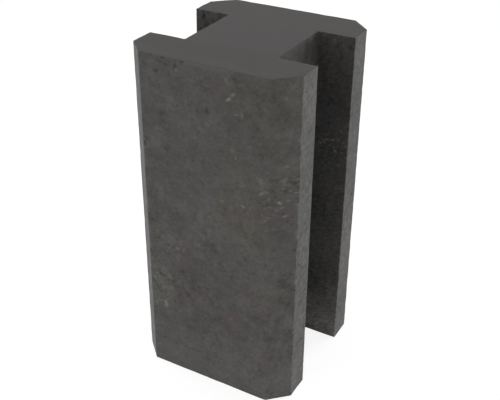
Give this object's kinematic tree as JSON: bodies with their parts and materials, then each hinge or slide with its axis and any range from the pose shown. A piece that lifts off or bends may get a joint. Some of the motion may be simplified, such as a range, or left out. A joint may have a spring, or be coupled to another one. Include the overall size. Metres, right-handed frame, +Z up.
{
  "type": "concrete fence post",
  "caption": "Short square concrete fence post of H section, with a slot down each side that takes the edge of a fence panel and chamfers down its outer corners.",
  "frame": {"origin": "centre of the foot, on the surface that the post stands on", "axes": "+Z up the post, +X across the flanges towards the right slot, -Y out of the front flange's face"},
  "size_m": [0.12, 0.12, 0.243],
  "materials": {
    "concrete": "matt, as cast, dark grey through-coloured concrete"
  },
  "bodies": {
    "root": {"fence_post": "concrete"}
  },
  "joints": []
}
